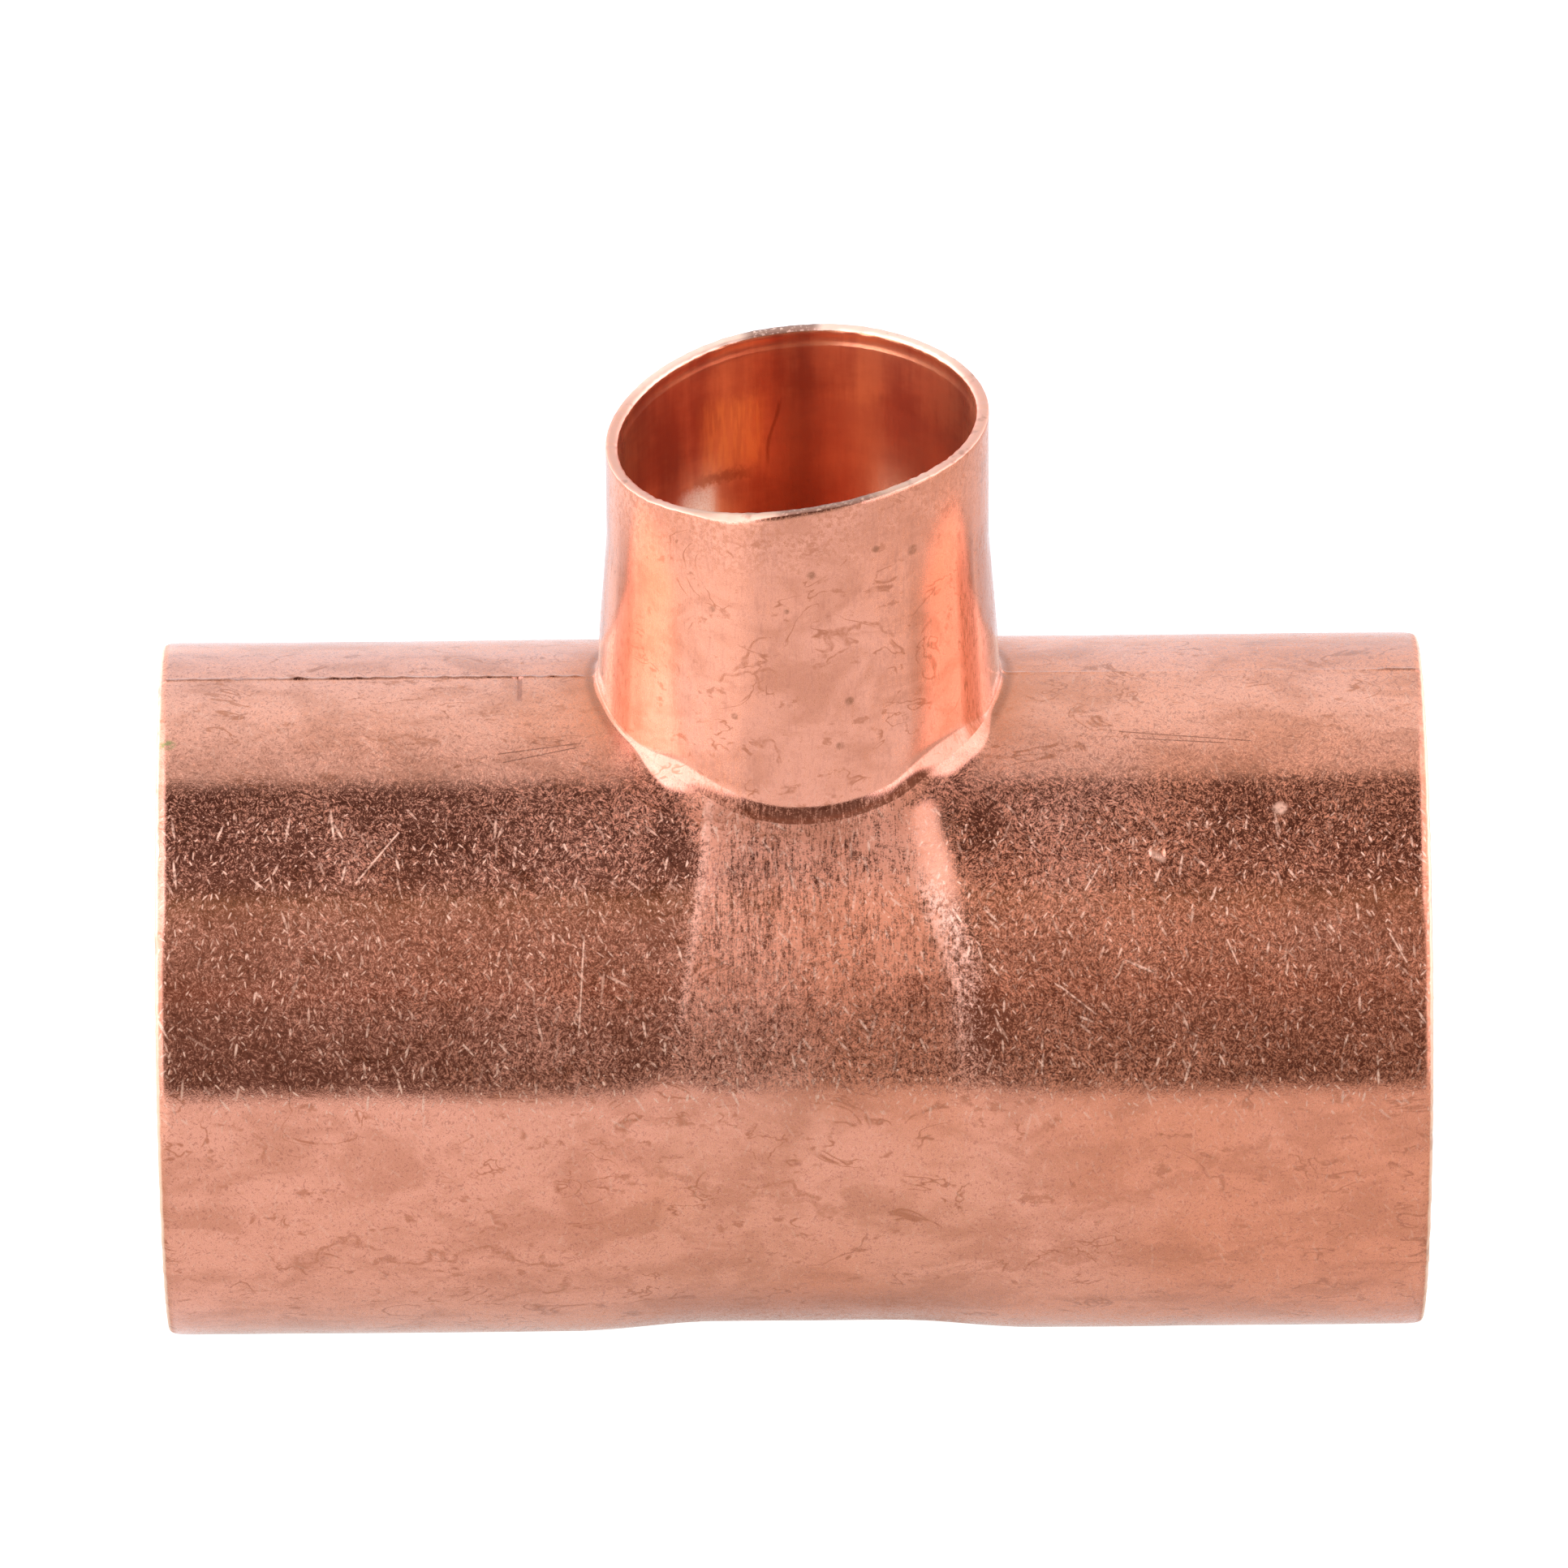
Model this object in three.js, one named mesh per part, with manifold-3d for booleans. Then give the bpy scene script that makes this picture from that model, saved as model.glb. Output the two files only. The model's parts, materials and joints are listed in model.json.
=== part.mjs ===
// Reducing tee for soldered copper tube: a 2 in run with a 1 in branch, drawn and bulged from one
// piece of tube. Millimetres, +Z up. The run lies along X and the branch stands up along Z. The
// origin is under the middle of the run, at the lowest point of its round wall.
import * as THREE from "three";
import { mergeVertices } from "three/addons/utils/BufferGeometryUtils.js";
import Module from "manifold-3d";

const wasm = await Module();
wasm.setup();

// Tubes that the sockets take, and the gap that solder fills.
const runTubeDiameter = 53.98;
const branchTubeDiameter = 28.58;
const solderGap = 0.06;
const runWall = 1.15;
const branchWall = 1.05;

// Run: overall length, and the waist in the middle that stops the tubes.
const runLength = 102.1;
const waistDepth = 0.7;
const waistHalfLength = 7.3;
const waistEnd = 19.2;

// Turned-in lips at the two run ends.
const lipLength = 1.45;
const lipDrop = 0.6;

// Branch: it stands a little off the middle of the run, and its rim is trimmed out of square.
const branchOffset = 0.65;
const rimHeight = 50.9;
const rimSlopeX = 0.1;
const rimSlopeY = 0.06;
const branchSocketDepth = 23.1;
const branchStopStep = 0.7;
const draftStart = 12.7;
const draftGrowth = 0.8;
const rootFillet = 2;

// Fineness of the facets.
const runSegments = 80;
const branchSegments = 72;
const waistSteps = 5;
const lipSteps = 3;
const filletSteps = 4;
const draftSteps = 3;

const runBoreRadius = runTubeDiameter / 2 + solderGap;
const runRadius = runBoreRadius + runWall;
const branchBoreRadius = branchTubeDiameter / 2 + solderGap;
const branchRadius = branchBoreRadius + branchWall;
const branchRootRadius = branchRadius + draftGrowth;
const overcut = 2; // how far a cutting tool reaches past the face it cuts
const rootSink = 0.05; // how far a fillet's foot runs under the surface that it meets
const rootDepth = 6; // how far a branch solid reaches below the crown of the run

// How deep the waist is at x, as a share of its full depth: 1 in the middle, 0 in the sockets.
function waistShare(x) {
  const distance = Math.abs(x - branchOffset);
  const along = THREE.MathUtils.clamp((distance - waistHalfLength) / (waistEnd - waistHalfLength), 0, 1);
  return (1 + Math.cos(Math.PI * along)) / 2;
}

// Stations along the run at which the waist's two flanks are drawn.
function waistStations() {
  const stations = [];
  for (const side of [-1, 1]) {
    for (let i = 0; i <= waistSteps; i++) {
      const fraction = side < 0 ? 1 - i / waistSteps : i / waistSteps;
      const distance = THREE.MathUtils.lerp(waistHalfLength, waistEnd, fraction);
      stations.push(branchOffset + side * distance);
    }
  }
  return stations;
}

// A geometry turned about the run's axis, from points of (radius, distance along the run).
function turnedAboutRun(points) {
  const geometry = new THREE.LatheGeometry(points, runSegments);
  geometry.rotateZ(-Math.PI / 2);
  geometry.translate(0, 0, runRadius);
  return geometry;
}

function runOutside() {
  const half = runLength / 2;
  const points = [new THREE.Vector2(0, -half)];
  for (let i = 0; i <= lipSteps; i++) {
    const angle = (Math.PI / 2) * (i / lipSteps);
    const radius = runRadius - lipDrop * (1 - Math.sin(angle));
    points.push(new THREE.Vector2(radius, -half + lipLength * (1 - Math.cos(angle))));
  }
  for (const x of waistStations()) {
    points.push(new THREE.Vector2(runRadius - waistDepth * waistShare(x), x));
  }
  for (let i = lipSteps; i >= 0; i--) {
    const angle = (Math.PI / 2) * (i / lipSteps);
    const radius = runRadius - lipDrop * (1 - Math.sin(angle));
    points.push(new THREE.Vector2(radius, half - lipLength * (1 - Math.cos(angle))));
  }
  points.push(new THREE.Vector2(0, half));
  return turnedAboutRun(points);
}

function runBore() {
  const reach = runLength / 2 + overcut;
  const points = [new THREE.Vector2(0, -reach), new THREE.Vector2(runBoreRadius, -reach)];
  for (const x of waistStations()) {
    points.push(new THREE.Vector2(runBoreRadius - waistDepth * waistShare(x), x));
  }
  points.push(new THREE.Vector2(runBoreRadius, reach), new THREE.Vector2(0, reach));
  return turnedAboutRun(points);
}

// A geometry turned about the branch's axis, from points of (radius, height above the run's
// crown). Its foot is bent down to follow the round wall of the run, whose radius in the sockets
// is wallRadius. The bend fades out between the heights full and none.
function turnedAboutBranch(points, wallRadius, full, none) {
  const geometry = new THREE.LatheGeometry(points, branchSegments);
  geometry.rotateX(Math.PI / 2);
  geometry.translate(branchOffset, 0, 0);
  const position = geometry.getAttribute("position");
  for (let i = 0; i < position.count; i++) {
    const height = position.getZ(i);
    const wall = wallRadius - waistDepth * waistShare(position.getX(i));
    const surface = Math.sqrt(wall * wall - position.getY(i) ** 2);
    const bend = THREE.MathUtils.clamp((none - height) / (none - full), 0, 1);
    position.setZ(i, runRadius + height + THREE.MathUtils.lerp(wallRadius, surface, bend));
  }
  return geometry;
}

// The foot of a branch profile: from the axis out along the underside, then up the fillet.
function filletFoot(radius, fillet) {
  const points = [
    new THREE.Vector2(0, -rootDepth),
    new THREE.Vector2(radius + fillet / 2, -rootDepth / 2),
  ];
  for (let i = 0; i <= filletSteps; i++) {
    const angle = (Math.PI / 2) * (i / filletSteps);
    const out = radius + fillet * (1 - Math.sin(angle));
    points.push(new THREE.Vector2(out, fillet * (1 - Math.cos(angle)) - rootSink));
  }
  return points;
}

function branchOutside() {
  const points = filletFoot(branchRootRadius, rootFillet);
  for (let i = 1; i <= draftSteps; i++) {
    const rise = i / draftSteps;
    const height = THREE.MathUtils.lerp(rootFillet, draftStart, rise);
    points.push(new THREE.Vector2(branchRootRadius - draftGrowth * rise, height));
  }
  const top = rimHeight - runRadius + branchRadius * (rimSlopeX + rimSlopeY) + overcut;
  points.push(new THREE.Vector2(branchRadius, top), new THREE.Vector2(0, top));
  return turnedAboutBranch(points, runRadius, rootFillet, draftStart);
}

function branchBore() {
  const throatRadius = branchBoreRadius - branchStopStep;
  const fillet = rootFillet - branchStopStep;
  const stop = rimHeight - branchSocketDepth - runBoreRadius + fillet;
  const top = rimHeight - runBoreRadius + 2 * overcut + branchRadius * (rimSlopeX + rimSlopeY);
  const points = filletFoot(throatRadius, fillet);
  points.push(
    new THREE.Vector2(throatRadius, stop),
    new THREE.Vector2(branchBoreRadius, stop + branchStopStep),
    new THREE.Vector2(branchBoreRadius, top),
    new THREE.Vector2(0, top),
  );
  return turnedAboutBranch(points, runBoreRadius, fillet - rootSink, stop);
}

// A block whose underside is the trimmed plane of the branch's rim.
function rimCut() {
  const width = 4 * branchRadius;
  const thickness = 20;
  const geometry = new THREE.BoxGeometry(width, width, thickness);
  geometry.translate(0, 0, thickness / 2);
  const normal = new THREE.Vector3(-rimSlopeX, -rimSlopeY, 1).normalize();
  const tilt = new THREE.Quaternion().setFromUnitVectors(new THREE.Vector3(0, 0, 1), normal);
  geometry.applyQuaternion(tilt);
  geometry.translate(branchOffset, 0, runRadius + rimHeight);
  return geometry;
}

// A three.js geometry as a solid that can be joined and cut.
function solid(geometry) {
  const bare = geometry.clone();
  bare.deleteAttribute("normal");
  bare.deleteAttribute("uv");
  const merged = mergeVertices(bare, 1e-4);
  return new wasm.Manifold(
    new wasm.Mesh({
      numProp: 3,
      vertProperties: merged.attributes.position.array,
      triVerts: new Uint32Array(merged.index.array),
    }),
  );
}

// A joined and cut solid as a three.js geometry with flat-shaded faces.
function geometryOf(shape) {
  const mesh = shape.getMesh();
  const geometry = new THREE.BufferGeometry();
  geometry.setAttribute("position", new THREE.BufferAttribute(mesh.vertProperties, 3));
  geometry.setIndex(new THREE.BufferAttribute(mesh.triVerts, 1));
  const faceted = geometry.toNonIndexed();
  faceted.computeVertexNormals();
  return faceted;
}

function teeBody() {
  const shape = solid(runOutside())
    .add(solid(branchOutside()))
    .subtract(solid(runBore()))
    .subtract(solid(branchBore()))
    .subtract(solid(rimCut()));
  const copper = new THREE.MeshStandardMaterial({ color: 0xb9775d, roughness: 0.25, metalness: 1 });
  const mesh = new THREE.Mesh(geometryOf(shape), copper);
  mesh.name = "tee_body";
  return mesh;
}

const tee = new THREE.Group();
tee.add(teeBody());

export default tee;
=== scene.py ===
import json
import math

import bpy
import numpy as np
from mathutils import Matrix, Vector

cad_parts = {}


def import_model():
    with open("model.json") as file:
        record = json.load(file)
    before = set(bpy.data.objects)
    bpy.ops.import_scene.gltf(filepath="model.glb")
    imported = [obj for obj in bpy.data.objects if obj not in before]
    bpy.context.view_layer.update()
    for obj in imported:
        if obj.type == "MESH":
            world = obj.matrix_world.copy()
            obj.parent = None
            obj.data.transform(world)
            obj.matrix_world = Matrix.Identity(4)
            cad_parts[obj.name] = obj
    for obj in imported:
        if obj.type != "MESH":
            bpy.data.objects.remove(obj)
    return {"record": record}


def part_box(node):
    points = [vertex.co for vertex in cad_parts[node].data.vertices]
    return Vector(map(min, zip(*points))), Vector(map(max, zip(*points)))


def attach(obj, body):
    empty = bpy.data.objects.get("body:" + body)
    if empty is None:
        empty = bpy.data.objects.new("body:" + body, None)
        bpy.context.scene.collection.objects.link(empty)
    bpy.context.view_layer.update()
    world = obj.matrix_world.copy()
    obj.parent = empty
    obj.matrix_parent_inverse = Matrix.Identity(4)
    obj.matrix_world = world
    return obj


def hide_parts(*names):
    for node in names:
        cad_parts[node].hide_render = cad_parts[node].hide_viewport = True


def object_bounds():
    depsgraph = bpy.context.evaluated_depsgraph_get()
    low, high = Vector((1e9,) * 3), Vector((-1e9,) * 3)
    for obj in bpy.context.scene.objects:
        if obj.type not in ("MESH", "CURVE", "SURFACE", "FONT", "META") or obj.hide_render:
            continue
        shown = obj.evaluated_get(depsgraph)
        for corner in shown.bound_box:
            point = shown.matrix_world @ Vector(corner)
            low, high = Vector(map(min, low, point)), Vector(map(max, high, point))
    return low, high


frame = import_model()
cad_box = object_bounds()

MM = 0.001
rng = np.random.default_rng(11)

# ---- sizes that come from the frame ---------------------------------------------------------
low, high = (np.array(corner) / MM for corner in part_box("tee_body"))
mounts = {mount["name"]: mount for mount in frame["record"]["mounts"]}
rim_point = np.array(mounts["branch_rim"]["pos_m"]) / MM
rim_normal = np.array(mounts["branch_rim"]["axis"])

RUN_RADIUS = (high[1] - low[1]) / 2
HALF_LENGTH = (high[0] - low[0]) / 2
AXIS_HEIGHT = low[2] + RUN_RADIUS
BRANCH_X = rim_point[0]
RIM_SLOPE_X, RIM_SLOPE_Y = -rim_normal[:2] / rim_normal[2]
RIM_HEIGHT = rim_point[2] - RIM_SLOPE_Y * rim_point[1] - AXIS_HEIGHT

# ---- sizes of its own, in millimetres -------------------------------------------------------
RUN_WALL = 1.15
LIP_LENGTH, LIP_DROP, LIP_SHAPE = 1.45, 0.62, 0.75
WAIST_DEPTH = 0.7
BRANCH_RADIUS, BRANCH_WALL = 15.4, 1.05
GROWTH_SIDE, GROWTH_FRONT = 0.8, 0.1     # the branch is this much wider at its root
DRAFT_HEIGHT = 12.7                      # height above the run's crown at which it starts to widen
FILLET_SIDE, FILLET_LEFT, FILLET_RIGHT, FILLET_FRONT = 0.4, 2.0, 2.4, 1.7
FILLET_TURN = math.radians(8)            # the front's fillet lies a little to the right
INNER_FILLET = 2.6
MOUTH_STEP, MOUTH_DEPTH = 0.1, 1.3       # the mouth is sized this much wider, down to this depth
RIM_FLAT, RIM_FLAT_TURN = 0.4, 21        # how far the rim is worn down in front, and where (degrees)
STOP_STEP, STOP_HEIGHT = 0.7, 27.8       # the tube stop in the branch's bore

# Heights of what stands out from the skin or is pressed into it.
FLASH_LEFT, FLASH_RIGHT, FLASH_RIGHT_END = 0.13, 0.035, 0.125     # parting line on the crown
FLASH_FOOT, FLASH_BRANCH = 0.08, 0.05
NICK_DEPTH, ROUND_DENT_DEPTH, SQUARE_DENT_DEPTH = 0.16, 0.11, 0.09
CREASE_HEIGHT = 0.035

# Marks on the run. Places are from the branch's axis along the run, and from the crown.
NICK = (-22.7, 3.9, 0.24)                # a groove across the crown: place, reach and half width
ROUND_DENT = (38.2, 33.0, 0.85)          # place, degrees and size
SQUARE_DENT = (28.5, 41.0, 0.5)
DENT_ARC = (14.8, 21.6)                  # the arc that holds both dents

# Lines and spots drawn on the skin laid flat: millimetres along the run and down its front,
# or round the branch and above the run's axis.
BRANCH_STAINS = [
    [(2.1, 38.7), (3.7, 39.9), (5.3, 40.2), (6.6, 39.3), (7.9, 38.2)],
    [(0.8, 36.0), (1.9, 36.5), (3.0, 36.4)], [(0.9, 36.2), (2.2, 37.2), (3.9, 37.9)],
    [(-6.2, 34.9), (-4.1, 35.5), (-2.8, 34.7)], [(-5.4, 36.1), (-4.6, 37.9), (-3.1, 39.2)],
    [(-4.3, 30.1), (-2.3, 29.1)], [(-3.2, 36.4), (-1.6, 35.6)],
]
BRANCH_SPECKS = [
    (9.7, 45.6, 0.65), (6.3, 46.5, 0.45), (1.0, 44.8, 0.5), (-7.2, 41.1, 0.4), (-5.3, 31.9, 0.4),
    (3.2, 29.5, 0.45), (-14.4, 25.2, 0.5), (-17.2, 34.8, 0.45), (4.0, 33.4, 0.5), (-1.0, 41.6, 0.3),
]
RUN_STAINS = [
    [(-35.0, -8.1), (-32.0, -8.5), (-29.0, -8.2)], [(-25.0, -4.9), (-23.6, -4.4)],
    [(-41.0, -56.8), (-37.6, -53.1), (-34.1, -53.8)], [(-34.5, -56.4), (-26.0, -54.8), (-20.1, -56.6)],
    [(-25.7, -49.9), (-23.6, -51.0), (-25.4, -52.6)], [(-25.0, -62.1), (-18.4, -59.5)],
    [(-44.0, -43.4), (-42.2, -46.0)], [(-4.9, -48.1), (0.7, -49.4)],
]
RUBBED_LINES = [
    [(-16.0, -43.2), (-6.2, -49.3), (4.2, -50.7)], [(20.9, -51.7), (37.6, -44.0)],
    [(14.7, -57.9), (25.8, -55.1)], [(29.0, -56.9), (40.0, -54.6)],
]
DRAG_LINES = [
    [(25.7, -8.3), (36.2, -9.5)], [(27.0, -9.1), (34.2, -9.7)],
    [(-23.8, -11.1), (-18.0, -9.6)], [(-24.2, -10.2), (-17.6, -9.1)],
]
# The waist's left edge: more worn, and given a painted highlight.
LEFT_RIDGE = [(-7.3, -15.5), (-7.6, -18.5), (-8.4, -24.9), (-9.7, -33.3)]
SCORES = [
    [(-35.6, -22.1), (-32.2, -17.8)], [(-17.4, -26.7), (-17.9, -34.6)], [(20.5, -30.9), (23.4, -33.2)],
    [(22.7, -23.2), (23.9, -21.1)], [(34.0, -27.4), (34.8, -29.3)], [(47.0, -27.0), (48.3, -29.3)],
]

# ---- mesh fineness --------------------------------------------------------------------------
CELL_X, CELL_T = 0.7, 0.62
FINE_CELL_T = 0.26
FINE_COLUMNS = [
    (BRANCH_X + NICK[0], 0.55, 0.11),
    (BRANCH_X + SQUARE_DENT[0], 0.9, 0.15),
    (BRANCH_X + ROUND_DENT[0], 1.9, 0.22),
]
HOLE_X, HOLE_T = 21.0, 24.5              # half the grid's hole for the branch: along and round
COLLAR_STEPS, INNER_COLLAR_STEPS = 16, 12
COLLAR_GRADING = 0.8
FILLET_STEPS, INNER_FILLET_STEPS = 9, 8
WALL_STEPS, BORE_STEPS, THROAT_STEPS = 50, 25, 10
FILLET_SHARE = 4                         # rings of a fillet that still look like the run


def smooth(edge0, edge1, value):
    """0 at edge0 and before it, 1 at edge1 and beyond, and an S-curve between them."""
    share = np.clip((value - edge0) / (edge1 - edge0), 0, 1)
    return share * share * (3 - 2 * share)


def lerp(a, b, share):
    return a + (b - a) * share


def ripple(angle, lowest, highest, power):
    """A closed random wave of about unit height round an angle, from a sum of sines."""
    total = np.zeros_like(angle)
    norm = 0.0
    for count in range(lowest, highest + 1):
        weight = (lowest / count) ** power
        total = total + weight * np.sin(count * angle + rng.uniform(0, 2 * math.pi))
        norm += weight * weight
    return total / math.sqrt(norm / 2) / 2


# ---- the run's surface ----------------------------------------------------------------------
def waist(x, phi):
    """How far the run's wall is drawn in at x and at the angle phi from the crown."""
    out = np.abs(np.degrees(phi))
    side = x - BRANCH_X
    middle_left = lerp(7.2, 13.1, smooth(30, 120, out))
    middle_right = lerp(9.6, 13.3, smooth(28, 66, out))
    middle = np.where(side < 0, middle_left, middle_right)
    half_left = lerp(3.5, 6.0, smooth(70, 150, out))
    half_right = lerp(2.3, 2.8, smooth(40, 60, out)) + lerp(0, 3.2, smooth(64, 140, out))
    half = np.where(side < 0, half_left, half_right)
    along = np.clip((np.abs(side) - middle + half) / (2 * half), 0, 1)
    return WAIST_DEPTH * (1 + np.cos(math.pi * along)) / 2


def run_point(x, t, inset, drop=0.0):
    """A point of the run's wall at x and at the arc length t from the crown, front positive."""
    phi = t / RUN_RADIUS
    radius = RUN_RADIUS - inset - drop - waist(x, phi)
    return np.stack([x, -radius * np.sin(phi), radius * np.cos(phi)], -1)


def run_angle(x, y, inset):
    """Angle from the crown of the run's wall at (x, y), front positive."""
    phi = np.arcsin(np.clip(-y / (RUN_RADIUS - inset), -1, 1))
    for _ in range(5):
        phi = np.arcsin(np.clip(-y / (RUN_RADIUS - inset - waist(x, phi)), -1, 1))
    return phi


def run_height(x, y, inset):
    """Height of the run's upper wall over the point (x, y)."""
    radius = RUN_RADIUS - inset - waist(x, run_angle(x, y, inset))
    return np.sqrt(radius * radius - y * y)


# ---- grid of the run: a closed wall profile, turned about the axis --------------------------
def stepped(start, end, coarse, fine, fine_start, fine_end):
    """Places from start to end, one coarse step apart, or one fine step in the part given."""
    places = [start]
    while places[-1] < end - 0.6 * coarse:
        step = fine if fine_start <= places[-1] < fine_end else coarse
        places.append(places[-1] + step)
    places[-1] = end
    return np.array(places)


def angle_stations():
    """Arc lengths round the run, closer together at the two parting lines and at the dents."""
    near = np.array([0, 0.08, 0.16, 0.25, 0.36, 0.5, 0.7, 1.0, 1.4, 1.9])
    half_round = math.pi * RUN_RADIUS
    middle = stepped(near[-1], half_round - near[-1], CELL_T, FINE_CELL_T, *DENT_ARC)[1:-1]
    front = np.concatenate([near, middle, half_round - near[::-1]])
    return np.concatenate([-front[1:-1][::-1], front])


def body_columns(reach):
    """Places along the run between its lips, closer together at the nick and at the dents."""
    count = int(round(2 * reach / CELL_X))
    body = np.linspace(-reach, reach, count + 1)[1:-1]
    for place, half_width, step in FINE_COLUMNS:
        body = body[np.abs(body - place) > half_width + 0.6 * step]
        fine = np.arange(place - half_width, place + half_width + 0.5 * step, step)
        body = np.sort(np.concatenate([body, fine]))
    return body


def wall_profile():
    """Closed profile of the run's wall: rows of (x, inset, drop, zone). Zone is 0 on the
    outside, 1 on the rims and 2 on the inside. Also the columns of the outside and the inside."""
    lip = np.linspace(0, math.pi / 2, 11)
    lip_x = HALF_LENGTH - LIP_LENGTH * (1 - np.cos(lip) ** LIP_SHAPE)
    lip_drop = LIP_DROP * (1 - np.sin(lip) ** LIP_SHAPE)
    lip_zone = 1 - smooth(0, 0.5, HALF_LENGTH - lip_x)
    body = body_columns(lip_x[-1])
    # The cut end between lip and bore: how far it stands out, and how far across the wall it is.
    edge = [(0.03, 0.16), (0.0, 0.3), (-0.08, 0.42), (-0.25, 0.5), (-0.6, 0.53)]
    across = (RUN_WALL - LIP_DROP) / edge[-1][1]
    rows = [(-x, 0, drop, zone) for x, drop, zone in zip(lip_x, lip_drop, lip_zone)]
    rows += [(x, 0, 0, 0) for x in body]
    rows += [(x, 0, drop, zone) for x, drop, zone in zip(lip_x[::-1], lip_drop[::-1], lip_zone[::-1])]
    cut = [(HALF_LENGTH + out, 0, LIP_DROP + across * share, 1 if out > -0.2 else 1.6) for out, share in edge]
    rows += cut
    rows += [(x, RUN_WALL, 0, 2) for x in body[::-1]]
    rows += [(-x, inset, drop, zone) for x, inset, drop, zone in cut[::-1]]
    outside = len(lip_x), len(lip_x) + len(body)
    inside = outside[1] + len(lip_x) + len(edge), outside[1] + len(lip_x) + len(edge) + len(body)
    return np.array(rows, float), outside, inside


profile, outside, inside = wall_profile()
stations = angle_stations()
COLUMNS, AROUND = len(profile), len(stations)


def run_grid():
    x = profile[:, 0][:, None] + 0 * stations[None, :]
    t = stations[None, :] + 0 * x
    # The cut ends are a little uneven.
    end = 0.06 * ripple(stations / RUN_RADIUS, 2, 5, 1) + 0.03 * ripple(stations / RUN_RADIUS, 40, 160, 0.6)
    at_end = smooth(HALF_LENGTH - 2.5, HALF_LENGTH, np.abs(x)) * np.sign(x)
    points = run_point(x, t, profile[:, 1][:, None], profile[:, 2][:, None])
    points[..., 0] += at_end * end[None, :]
    return points


# ---- rings of the branch: from the run's outside, over the rim, to its inside ---------------
def hole_loop(first, last, bottom, top):
    """Grid places (column, station) round a rectangle, once, starting at its first corner."""
    loop = [(i, bottom) for i in range(first, last)]
    loop += [(last, j) for j in range(bottom, top)]
    loop += [(i, top) for i in range(last, first, -1)]
    loop += [(first, j) for j in range(top, bottom, -1)]
    return np.array(loop)


def nearest(values, target):
    return int(np.argmin(np.abs(values - target)))


def column_at(part, x):
    """The column of the profile, in its outside or its inside, that lies nearest to x."""
    return part[0] + nearest(profile[part[0]:part[1], 0], x)


crown = nearest(stations, 0.0)
hole_top = nearest(stations, HOLE_T)
hole_bottom = 2 * crown - hole_top
out_first = column_at(outside, BRANCH_X - HOLE_X)
out_last = column_at(outside, BRANCH_X + HOLE_X)
in_first = column_at(inside, profile[out_first, 0])
in_last = column_at(inside, profile[out_last, 0])
outer_loop = hole_loop(out_first, out_last, hole_bottom, hole_top)
# The inside's columns run the other way along x, so its loop goes back from its first column.
inner_loop = np.array([(in_first - (i - out_first), j) for i, j in outer_loop])

loop_x = profile[outer_loop[:, 0], 0]
loop_t = stations[outer_loop[:, 1]]
theta = np.arctan2(loop_t / HOLE_T, (loop_x - BRANCH_X) / HOLE_X)


def rim_plane(x, y):
    return RIM_HEIGHT + RIM_SLOPE_X * (x - BRANCH_X) + RIM_SLOPE_Y * y


def collar(root, fillet, inset, steps):
    """Rings on the run's wall, from the grid's hole to the foot of the fillet."""
    foot = root + fillet
    foot_x = BRANCH_X + foot * np.cos(theta)
    foot_y = -foot * np.sin(theta)
    foot_t = RUN_RADIUS * run_angle(foot_x, foot_y, inset)
    rings = []
    for share in (np.linspace(0, 1, steps + 1)[1:]) ** COLLAR_GRADING:
        rings.append(run_point(lerp(loop_x, foot_x, share), lerp(loop_t, foot_t, share), inset))
    return rings


def fillet_rings(root, fillet, inset, steps):
    """Rings up the fillet, from its foot on the run's wall to the branch's wall."""
    rings = []
    for angle in np.linspace(0, math.pi / 2, steps + 1)[1:]:
        radius = root + fillet * (1 - math.sin(angle))
        x = BRANCH_X + radius * np.cos(theta)
        y = -radius * np.sin(theta)
        z = run_height(x, y, inset) + fillet * (1 - math.cos(angle))
        rings.append(np.stack([x, y, z], -1))
    return rings


def tube_ring(radius, z):
    return np.stack([BRANCH_X + radius * np.cos(theta), -radius * np.sin(theta), z + 0 * theta], -1)


def root_shape():
    """The outer fillet's size and the branch's growth at its root, round the branch."""
    facing = np.abs(np.sin(theta))
    rightward = smooth(-0.3, 0.3, np.cos(theta))
    corner = lerp(FILLET_LEFT, FILLET_RIGHT, rightward)
    from_side = smooth(lerp(0.55, 0.3, rightward), lerp(0.82, 0.62, rightward), facing)
    fillet = lerp(FILLET_SIDE, corner, from_side)
    fillet = lerp(fillet, FILLET_FRONT, smooth(0.86, 0.98, np.abs(np.sin(theta + FILLET_TURN))))
    fillet = fillet + 0.4 * (1 - smooth(0.05, 0.3, facing))
    growth = lerp(GROWTH_SIDE, GROWTH_FRONT, smooth(0.35, 1, facing))
    return fillet, growth


def rim_shape():
    """How much of the worn flat is at each place of the rim, and the rim's height there."""
    turn = np.degrees(np.arctan2(np.cos(theta), np.sin(theta)))
    flat = np.exp(-((turn + RIM_FLAT_TURN) / 11) ** 2)
    warp = -0.4 * np.cos(2 * theta) + 0.2 * np.sin(2 * theta)
    notches = 0.035 * ripple(theta, 3, 12, 0.7) + 0.03 * ripple(theta, 30, 120, 0.5)
    plane = rim_plane(BRANCH_X + BRANCH_RADIUS * np.cos(theta), -BRANCH_RADIUS * np.sin(theta))
    return flat, plane + warp + notches


def wall_rings(start, top, growth):
    """Rings up the branch's outside from the heights start to the heights top."""
    rings = []
    draft_top = RUN_RADIUS + DRAFT_HEIGHT
    for step in range(1, WALL_STEPS + 1):
        z = lerp(start, top, step / WALL_STEPS)
        rise = np.clip((z - start) / (draft_top - start), 0, 1)
        radius = BRANCH_RADIUS + growth * (1 - rise) ** 0.9 * (1 - 0.25 * smooth(0.8, 1, rise))
        rings.append(tube_ring(radius, z))
    return rings


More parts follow.
